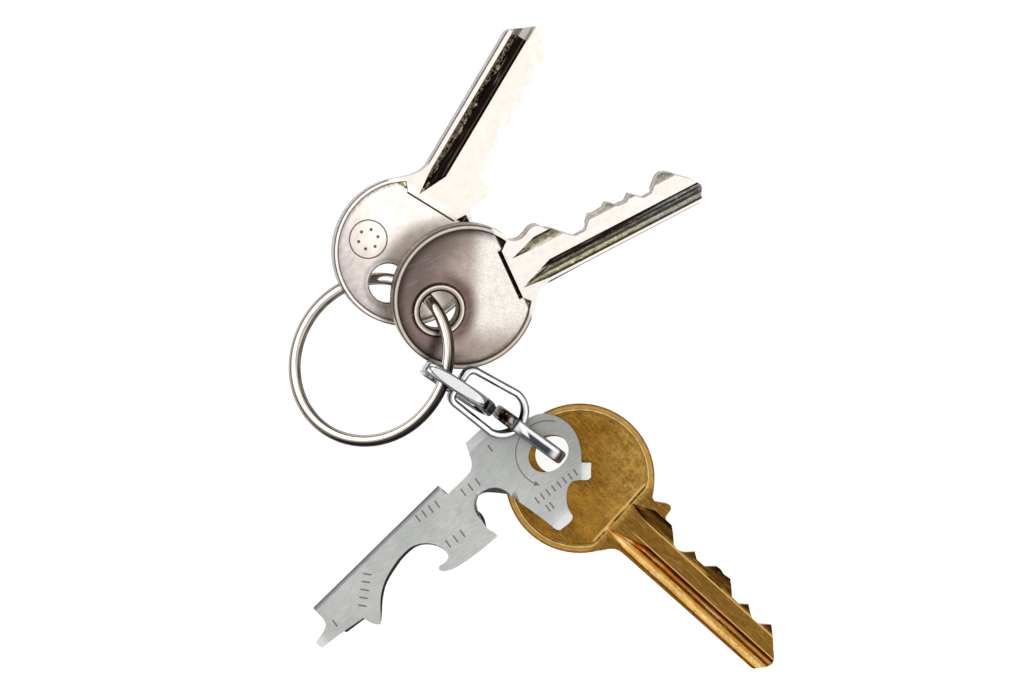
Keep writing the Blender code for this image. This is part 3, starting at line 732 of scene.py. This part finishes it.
def brass_metal():
    spec = KEYS["brass_key"]
    m = Metal("aged_brass", 0.34, "brass_key")
    color, radius, on_bow = key_base(
        m, spec, linear(138, 93, 24), linear(180, 130, 48), linear(80, 51, 12)
    )
    patches = m.between(m.noise(0.35, 6.0, 0.72, shift=11.0), 0.38, 0.66)
    color = m.paint(color, patches, 0.6, 106, 70, 20)
    # painted light: lighter towards the upper right, in patches of clean metal
    lit_and_clean = m.between(m.line(m.y, 0.8, m.x), 3.0, 11.0)
    lit_and_clean = m.times(lit_and_clean, m.between(m.noise(1.6, 6.0, 0.75, shift=1.0), 0.3, 0.75))
    color = m.paint(color, lit_and_clean, 0.75, 232, 188, 104)
    fleck = m.between(m.noise(4.5, 6.0, 0.8, shift=2.0), 0.5, 0.6)
    color = m.paint(color, fleck, 0.45, 206, 160, 76)
    spots = m.between(m.noise(3.1, 6.0, 0.8, shift=14.0), 0.53, 0.64)
    color = m.paint(color, spots, 0.7, 62, 38, 8)
    # painted highlight and shade across the rim, in patches
    rim = m.ramp(radius, [
        (11.2, 96, 63, 18), (11.36, 224, 180, 98), (11.6, 255, 222, 148), (11.82, 190, 143, 66),
        (12.2, 214, 168, 90), (12.42, 176, 130, 60), (12.55, 96, 63, 20), (12.65, 60, 38, 9),
    ])
    rim_wear_and_sheen = m.between(m.noise(0.7, 5.0, 0.7, shift=6.0), 0.35, 0.65, 0.6, 1.0)
    on_rim = m.times(m.between(radius, 11.2, 11.26), on_bow)
    color = m.mix(m.times(on_rim, rim_wear_and_sheen), color, rim)
    blade = m.between(m.x, 9.7, 10.6)
    brushed = m.between(m.noise(7.0, 3.0, 0.6, (0.06, 1.0, 1.0), 0.0, 4.0), 0.35, 0.65)
    flat = m.mix(brushed, linear(104, 68, 20), linear(142, 100, 40))
    color = m.mix(m.times(blade, 0.8), color, flat)
    # painted highlight along the groove lips
    lips = m.math("MAXIMUM", m.band(m.y, -0.85, -0.66, 0.06), m.band(m.y, 1.9, 2.2, 0.06))
    lips = m.times(lips, m.between(m.x, 11.5, 15.0))
    color = m.paint(color, lips, 0.8, 244, 198, 112)
    # outer side walls painted darker, as shade
    outer = m.math("MAXIMUM", m.between(radius, 12.0, 12.2), m.between(m.x, 9.7, 9.9))
    wall = m.times(m.times(m.wall(0.5, 0.95), outer), 0.9)
    color = m.mix(wall, color, edge_tone(m, linear(70, 45, 13), linear(156, 110, 44)))
    # painted highlight on the step into the field
    rise = m.times(m.band(m.x, 8.7, 9.55, 0.1), m.band(m.y, -6.4, 6.7, 0.2))
    color = m.paint(color, rise, 0.85, 248, 208, 128)
    wander = m.between(m.noise(0.7, 4.0, 0.7, (0.25, 1.0, 1.0)), 0.3, 0.7, -0.2, 0.2)
    y = m.math("ADD", m.y, wander)
    # painted highlight and shade: bands of light and dark across the grooves
    groove = m.ramp(y, [
        (-4.15, 110, 68, 16), (-3.85, 206, 150, 66), (-3.4, 240, 192, 104), (-3.1, 255, 226, 152),
        (-2.85, 232, 172, 72), (-2.4, 206, 132, 30), (-2.0, 214, 124, 14), (-1.6, 186, 100, 10),
        (-1.3, 84, 46, 8), (-0.8, 48, 26, 5), (0.5, 140, 96, 36), (2.1, 230, 180, 92),
        (2.5, 128, 82, 24), (2.9, 74, 46, 12), (3.4, 96, 62, 20), (3.8, 54, 33, 9), (4.5, 40, 24, 6),
    ])
    # paler along the middle of the blade
    paler_run = m.times(m.band(m.y, -2.6, -1.5, 0.2), m.between(m.x, 17.0, 34.0, 0.0, 0.75))
    groove = m.mix(paler_run, groove, linear(206, 150, 66))
    grit = m.between(m.noise(1.5, 6.0, 0.85, (0.5, 1.0, 1.0), shift=5.0), 0.52, 0.6)
    groove = m.paint(groove, grit, 0.5, 96, 60, 16)
    shine = m.between(m.noise(1.3, 5.0, 0.8, (0.12, 1.0, 1.0), shift=21.0), 0.54, 0.62)
    shine = m.times(shine, m.fade(m.y, -2.0, -1.2))
    groove = m.paint(groove, shine, 0.6, 255, 240, 190)
    color = m.mix(deep(m), color, groove)
    swirl = m.scratches(-35.0, 6.0, 0.62, 0.72)
    cross = m.scratches(52.0, 7.0, 0.63, 0.73, 5.0)
    third = m.scratches(88.0, 6.5, 0.63, 0.73, 9.0)
    fine = m.math("MAXIMUM", m.math("MAXIMUM", swirl, cross), third)
    color = m.paint(color, fine, 0.38, 232, 190, 110)
    rough = m.between(m.noise(0.9, 5.0, 0.6, shift=3.0), 0.35, 0.7, 0.28, 0.42)
    m.bump(m.noise(4.0, 6.0, 0.7), 0.25, 0.03)
    m.bump(fine, 0.15, 0.02)
    return m.done(color, rough)


def tool_metal():
    m = Metal("brushed_stainless", 0.36, "key_multitool")
    grain = m.noise(14.0, 4.0, 0.6, (0.04, 1.0, 1.0), 38.0)
    color = m.mix(m.between(grain, 0.3, 0.7), linear(190, 192, 188), linear(228, 229, 225))
    by_head = m.between(m.line(m.y, 0.6, m.x), -6.0, 12.0, 0.8, 0.0)
    color = m.mix(by_head, color, linear(158, 162, 159))
    cloud = m.noise(0.12, 3.0, 0.5)
    color = m.mix(m.between(cloud, 0.35, 0.7, 0.0, 0.35), color, linear(168, 172, 172))
    fine = m.scratches(38.0, 9.0, 0.55, 0.7, 3.0)
    color = m.paint(color, fine, 0.35, 232, 233, 230)
    notch = m.radius(*NOTCH)
    side_x, side_y = NOTCH_SIDE
    toward = m.line(m.y, -side_y, NOTCH[0] * side_x + NOTCH[1] * side_y)
    toward = m.line(m.x, -side_x, toward)
    # the notch's ground facet painted dark, as shade
    ground = m.times(m.fade(notch, 3.3, 3.45), m.between(toward, 0.6, 1.3))
    color = m.paint(color, ground, 0.92, 46, 44, 46)
    # side walls painted darker by the faces, as shade
    rims = m.band(m.math("ABSOLUTE", m.z), 0.3, 0.55, 0.06)
    wall_tone = m.mix(rims, linear(150, 152, 154), linear(46, 46, 52))
    color = m.mix(m.times(m.wall(0.45, 0.93), 0.85), color, wall_tone)
    # painted shade on the back leaf's inner face, between the leaves
    hidden = m.times(m.fade(m.z, -1.4, -0.8), m.between(m.nz, 0.3, 0.6))
    color = m.paint(color, hidden, 0.93, 28, 26, 28)
    along = (Vector(FOLD_END) - Vector(FOLD_START)).normalized()
    inward = Vector((-along.y, along.x))
    offset = m.line(m.y, inward.y, -inward.dot(Vector(FOLD_START)))
    offset = m.line(m.x, inward.x, offset)
    # painted shade along the fold
    bend = m.times(m.fade(offset, 0.35, 0.85), m.between(m.x, 17.5, 18.2))
    bend = m.times(bend, m.between(m.nz, 0.05, 0.3))
    color = m.paint(color, bend, 0.85, 96, 98, 101)
    # painted highlight on the ground tips
    on_top = m.between(m.nz, 0.6, 0.9)
    for (tx, ty), reach in GROUND_SHEEN_TIPS:
        tip = m.fade(m.radius(tx, ty), reach * 0.35, reach)
        tip = m.times(tip, on_top, 0.6)
        color = m.mix(tip, color, linear(246, 247, 245))
    cx, cy = TOOL_HOLE[0]
    ring = m.radius(cx, cy)
    dy = m.math("SUBTRACT", m.y, cy)
    dx = m.math("SUBTRACT", m.x, cx)
    heading = m.math("ARCTAN2", dy, dx)
    off_line = m.math("ABSOLUTE", m.math("SUBTRACT", ring, 5.55))
    line = m.times(m.fade(off_line, 0.07, 0.13), m.band(heading, -2.4, 0.56, 0.01))
    head_w = m.times(m.math("SUBTRACT", 0.7, heading), 2.4)
    head = m.between(m.math("SUBTRACT", head_w, off_line), 0.0, 0.08)
    head = m.times(head, m.band(heading, 0.5, 0.7, 0.01))
    etched = m.math("MAXIMUM", line, head)
    for (ex, ey), turn, count, pitch, height in ETCHED:
        c = math.cos(math.radians(turn))
        d = math.sin(math.radians(turn))
        u = m.line(m.x, c, -(ex * c + ey * d))
        u = m.line(m.y, d, u)
        v = m.line(m.x, -d, ex * d - ey * c)
        v = m.line(m.y, c, v)
        span = count * pitch / 2.0
        inside = m.fade(m.math("ABSOLUTE", u), span - 0.02, span)
        tall = m.fade(m.math("ABSOLUTE", v), height / 2.0 - 0.05, height / 2.0)
        phase = m.math("FRACT", m.math("DIVIDE", m.math("ADD", u, span), pitch))
        off = m.times(m.math("ABSOLUTE", m.math("SUBTRACT", phase, 0.5)), pitch)
        tick = m.fade(off, 0.1, 0.17)
        mark = m.times(tick, tall, inside)
        etched = m.math("MAXIMUM", etched, mark)
    etched = m.times(etched, m.between(m.z, 0.3, 0.45))
    color = m.paint(color, etched, 0.8, 104, 88, 76)
    rough = m.between(grain, 0.3, 0.7, 0.32, 0.42)
    m.bump(grain, 0.25, 0.015)
    return m.done(color, rough)


# ---------------------------------------------------------------- pieces
def build_split_ring():
    name = "split_ring"
    outer_r = 15.0
    width = 1.95
    coil_t = 0.92
    coil_gap = 0.06
    rise = coil_t + coil_gap
    mean_r = outer_r - width / 2.0
    step = 26.0
    end_gap = 1.2
    turn = 105.0
    round_side = (0.92, 0.72)
    flat_side = (0.2, 0.14)
    rings = []
    count = 480
    first = end_gap
    last = 720.0 - step - end_gap
    for i in range(count + 1):
        deg = first + (last - first) * i / count
        climb = min(max((deg - (360.0 - step)) / step, 0.0), 1.0)
        climb = climb * climb * (3.0 - 2.0 * climb)
        zc = rise * (climb - 0.5)
        a = math.radians(deg + turn)
        ring = []
        for cx, cy, start in CORNERS:
            away = climb if cy > 0 else 1.0 - climb
            rx = flat_side[0] + (round_side[0] - flat_side[0]) * away
            ry = flat_side[1] + (round_side[1] - flat_side[1]) * away
            middle = (cx * (width / 2.0 - rx), cy * (coil_t / 2.0 - ry))
            for u, v in arc(middle[0], middle[1], rx, ry, 7, start, 90.0):
                r = mean_r + u
                ring.append((r * math.cos(a), r * math.sin(a), zc + v))
        rings.append(ring)
    ob = to_object(name + "_wire", loft(rings))
    finish_piece(ob, name, ring_metal(), 0.0)


def link_path(offset):
    """Outline of a link moved inwards: squarer at one end, round at the other."""
    path = []
    square_x, square_y = -5.1, 1.9
    round_x = 2.5
    small = 2.0 - offset
    large = 4.6 - offset
    path += arc(square_x, square_y, small, small, 14, 96.0, 84.0)
    path += arc(square_x, -square_y, small, small, 14, 180.0, 84.0)
    path += arc(round_x, 0.0, large, large, 44, -86.0, 172.0)
    return path


def build_link(name, mat):
    width = 2.3
    thick = 1.3
    corner = 0.58
    section = []
    for cx, cy, start in CORNERS:
        ox = thick / 2.0 + cx * (thick / 2.0 - corner)
        oz = cy * (width / 2.0 - corner)
        section += arc(ox, oz, corner, corner, 8, start, 90.0)
    rings = []
    for offset, z in section + section[:1]:
        rings.append([(x, y, z) for x, y in link_path(offset)])
    bm = loft(rings, close=False)
    bmesh.ops.remove_doubles(bm, verts=bm.verts[:], dist=0.0001)
    ob = to_object(name + "_wire", bm)
    finish_piece(ob, name, mat, 0.0)


def field_outline(spec, inset):
    """Coined field of a bow: a round cut square, with short corners, towards the blade."""
    r = spec["field_r"] - inset
    top = spec["field_y"][0] - inset
    bottom = spec["field_y"][1] + inset
    x = spec["field_x"] - inset
    high = math.degrees(math.asin((top + 1.2) / r))
    low = math.degrees(math.asin((bottom - 1.2) / r))
    points = arc(0.0, 0.0, r, r, 150, high, 360.0 - (high - low))
    points += [(x, bottom), (x, top)]
    return points


def groove_cutter(profile, start, run, point_y, face):
    """Milled groove that opens out of a point over its run-in. face is +1 or -1."""
    deepest = max(depth for _, depth in profile)
    sections = []
    steps = 14
    places = [start + run * (i / steps) for i in range(steps + 1)]
    past_tip = 47.0
    places.append(past_tip)
    for x in places:
        s = min((x - start) / run, 1.0)
        lift = deepest * (1.0 - s) ** 3
        spread = 0.06 + 0.94 * s
        line = [(point_y + (y - point_y) * spread, depth) for y, depth in profile]
        y0 = line[0][0]
        y1 = line[-1][0]
        ring = [(x, y0, face * (KEY_HALF + 1.5))]
        ring.append((x, y0 - 0.12, face * (KEY_HALF + 0.3 + lift)))
        for y, depth in line:
            ring.append((x, y, face * (KEY_HALF - depth + lift)))
        ring.append((x, y1 + 0.12, face * (KEY_HALF + 0.3 + lift)))
        ring.append((x, y1, face * (KEY_HALF + 1.5)))
        sections.append(ring)
    return loft(sections)


def build_key(name, mat, extra=()):
    spec = KEYS[name]
    blade = smooth_line(spec["blade"])
    start = math.degrees(math.atan2(blade[-1][1], blade[-1][0]))
    stop = math.degrees(math.atan2(blade[0][1], blade[0][0]))
    bow = arc(0.0, 0.0, spec["bow_r"], spec["bow_r"], 170, start, -(360.0 - (stop - start)))
    ob = to_object(name + "_blank", prism(blade + bow[1:-1], -KEY_HALF, KEY_HALF))
    depth = spec["field_depth"]
    cutters = []
    for face in (1, -1):
        deep_edge = field_outline(spec, 0.22)
        wide_edge = field_outline(spec, -0.05)
        floor_z = face * (KEY_HALF - depth)
        open_z = face * (KEY_HALF + 0.05)
        cutters.append((prism(deep_edge, floor_z, open_z, wide_edge), "DIFFERENCE"))
    hx, hy, hr = spec["hole"]
    if spec["boss_r"] > 0.0:
        r = spec["boss_r"]
        low = arc(hx, hy, r, r, 96)
        cutters.append((prism(low, -KEY_HALF, KEY_HALF), "UNION"))
    for groove in spec["grooves"]:
        cutters.append((groove_cutter(*groove, 1), "DIFFERENCE"))
    for groove in spec["back_grooves"]:
        cutters.append((groove_cutter(*groove, -1), "DIFFERENCE"))
    cutters.append((prism(arc(hx, hy, hr, hr, 96), -3.0, 3.0), "DIFFERENCE"))
    cutters += list(extra)
    carve(ob, cutters)
    finish_piece(ob, name, mat, spec["edge"], 3)


def stamp():
    """Plain round stamp on the rear key's bow: a shallow ring with a few dots in it."""
    floor_z = KEY_HALF - KEYS["rear_key"]["field_depth"]
    cutters = []
    cx, cy = STAMP
    outer = arc(cx, cy, 3.35, 3.35, 72)
    inner = arc(cx, cy, 3.12, 3.12, 72)
    rings = [
        [(x, y, floor_z - 0.09) for x, y in outer],
        [(x, y, floor_z + 0.3) for x, y in outer],
        [(x, y, floor_z + 0.3) for x, y in inner],
        [(x, y, floor_z - 0.09) for x, y in inner],
    ]
    bm = loft(rings + rings[:1], close=False)
    bmesh.ops.remove_doubles(bm, verts=bm.verts[:], dist=0.0001)
    cutters.append((bm, "DIFFERENCE"))
    for i in range(6):
        a = math.radians(60.0 * i + 15.0)
        dot = arc(cx + 1.7 * math.cos(a), cy + 1.7 * math.sin(a), 0.28, 0.28, 16)
        cutters.append((prism(dot, floor_z - 0.12, floor_z + 0.3), "DIFFERENCE"))
    return cutters


def build_multitool(mat):
    name = "key_multitool"
    sheet = 1.0
    leaf_gap = 2.6
    start = Vector(FOLD_START)
    end = Vector(FOLD_END)
    along = (end - start).normalized()
    inward = Vector((-along.y, along.x))
    length = (end - start).length
    half = sheet / 2.0
    low = -sheet - leaf_gap
    bm = bmesh.new()

    def fold_line(inset, radius):
        """Folded edge from the front leaf to the back one: bend, side wall, bend."""
        line = []
        reach = inset + radius
        for middle, first in ((half - reach, 90.0), (low - half + reach, 180.0)):
            line += arc(reach, middle, radius, radius, 8, first, 90.0)
        return line

    def lay(points):
        rows = []
        for s, z in points:
            row = []
            for t in (0.0, length):
                p = start + along * t + inward * s
                row.append(bm.verts.new((p.x, p.y, z)))
            rows.append(row)
        return rows

    outer = lay(fold_line(0.0, 0.55))
    inner = lay(fold_line(sheet, 0.12))
    for i in range(len(outer) - 1):
        j = i + 1
        bm.faces.new((outer[i][0], outer[i][1], outer[j][1], outer[j][0]))
        bm.faces.new((inner[i][1], inner[i][0], inner[j][0], inner[j][1]))
        bm.faces.new((outer[i][0], outer[j][0], inner[j][0], inner[i][0]))
        bm.faces.new((outer[j][1], outer[i][1], inner[i][1], inner[j][1]))

    def leaf(points, near_outer, near_inner, z_outer, z_inner):
        ring_o = [near_outer[1]]
        ring_i = [near_inner[1]]
        for x, y in smooth_line(points, 38.0):
            ring_o.append(bm.verts.new((x, y, z_outer)))
            ring_i.append(bm.verts.new((x, y, z_inner)))
        ring_o.append(near_outer[0])
        ring_i.append(near_inner[0])
        bm.faces.new(ring_o)
        bm.faces.new(list(reversed(ring_i)))
        for k in range(len(ring_o) - 1):
            bm.faces.new((ring_o[k], ring_i[k], ring_i[k + 1], ring_o[k + 1]))

    leaf(TOOL_FRONT, outer[0], inner[0], half, -half)
    leaf(TOOL_BACK, outer[-1], inner[-1], low - half, low + half)
    ob = to_object(name + "_sheet", bm)
    (hx, hy), rx, ry = TOOL_HOLE
    hole = arc(hx, hy, rx + HOLE_EXTRA, ry + HOLE_EXTRA, 96)
    cutters = [(prism(hole, -half - 0.5, half + 0.5), "DIFFERENCE")]
    # ground hollow round the opener's notch
    low_edge = arc(12.45, 1.75, 3.1, 3.1, 64)
    high_edge = arc(12.0, 1.0, 3.9, 3.9, 64)
    cutters.append((prism(low_edge, -0.1, half + 0.05, high_edge), "DIFFERENCE"))
    # section of the cut that thins a tip: distance out from its edge, height
    wedge = [(-1.7, 0.5), (-1.7, 0.9), (1.2, 0.9), (1.2, 0.02)]
    for (ex, ey), (ux, uy), width in TIPS:
        out = Vector((ux, uy)).normalized()
        side = Vector((-out.y, out.x)) * (width / 2.0 + 0.4)
        tip = Vector((ex, ey))
        for face in (1, -1):
            rings = []
            for s in (side, -side):
                rings.append([
                    ((tip + out * d + s).x, (tip + out * d + s).y, face * z) for d, z in wedge
                ])
            cutters.append((loft(rings), "DIFFERENCE"))
    carve(ob, cutters)
    finish_piece(ob, name, mat, 0.07)


# ---------------------------------------------------------------- stage
def build_stage():
    floor_mat = bpy.data.materials.new("table")
    floor_mat.use_nodes = True
    bsdf = floor_mat.node_tree.nodes["Principled BSDF"]
    bsdf.inputs["Base Color"].default_value = (0.25, 0.25, 0.25, 1.0)
    bsdf.inputs["Roughness"].default_value = 0.8
    bsdf.inputs["Emission Color"].default_value = (1.0, 1.0, 1.0, 1.0)
    bsdf.inputs["Emission Strength"].default_value = 0.9
    me = bpy.data.meshes.new("table")
    size = 1.5
    below = 0.0002
    corners = [(-size, -size, 0), (size, -size, 0), (size, size, 0), (-size, size, 0)]
    me.from_pydata(corners, [], [(0, 1, 2, 3)])
    floor = bpy.data.objects.new("table", me)
    floor.location.z = -below
    bpy.context.scene.collection.objects.link(floor)
    me.materials.append(floor_mat)


def area_light(name, location, target, size, power, color=(1.0, 1.0, 1.0)):
    data = bpy.data.lights.new(name, "AREA")
    data.shape = "RECTANGLE"
    data.size = size[0]
    data.size_y = size[1]
    data.energy = power
    data.color = color
    ob = bpy.data.objects.new(name, data)
    ob.location = location
    aim = Vector(target) - Vector(location)
    ob.rotation_euler = aim.to_track_quat("-Z", "Y").to_euler()
    bpy.context.scene.collection.objects.link(ob)
    return ob


def build_world():
    world = bpy.data.worlds.new("studio")
    bpy.context.scene.world = world
    world.use_nodes = True
    nodes = world.node_tree.nodes
    links = world.node_tree.links
    coord = nodes.new("ShaderNodeTexCoord")
    split = nodes.new("ShaderNodeSeparateXYZ")
    links.new(coord.outputs["Generated"], split.inputs[0])
    ramp = nodes.new("ShaderNodeValToRGB")
    ramp.color_ramp.interpolation = "EASE"
    stops = [
        (0.0, 0.4), (0.02, 0.02), (0.26, 0.05), (0.42, 0.46), (0.6, 0.6), (0.77, 1.0),
        (0.93, 0.62), (1.0, 0.58),
    ]
    elements = ramp.color_ramp.elements
    while len(elements) < len(stops):
        elements.new(0.5)
    for element, (place, level) in zip(elements, stops):
        element.position = place
        element.color = (level, level, level, 1.0)
    links.new(split.outputs["Z"], ramp.inputs[0])
    background = nodes["Background"]
    background.inputs["Strength"].default_value = 1.15
    links.new(ramp.outputs[0], background.inputs["Color"])


def build_camera():
    data = bpy.data.cameras.new("camera")
    data.lens = 135.0
    data.sensor_width = 36.0
    data.clip_start = 0.01
    data.clip_end = 10.0
    ob = bpy.data.objects.new("camera", data)
    view_width = 0.1744
    middle = (-0.00319, 0.00096)
    ob.location = (*middle, view_width * data.lens / data.sensor_width)
    bpy.context.scene.collection.objects.link(ob)
    bpy.context.scene.camera = ob


build_camera()
build_world()
area_light("key_light", (-0.75, 0.55, 0.9), (0, 0, 0), (1.3, 1.3), 4.5)
area_light("side_panel", (0.62, -0.12, 1.05), (0, 0, 0), (0.7, 0.7), 1.0, (1.0, 0.98, 0.95))
build_stage()
bpy.context.scene.view_settings.view_transform = "Standard"

build_split_ring()
build_link("ring_link", chrome("chrome_worn", "ring_link"))
build_link("middle_link", chrome("chrome_plain", "middle_link"))
build_link("tool_link", chrome("chrome_bright", "tool_link"))
build_key("rear_key", rear_metal(), stamp())
build_key("front_key", front_metal())
build_key("brass_key", brass_metal())
build_multitool(tool_metal())
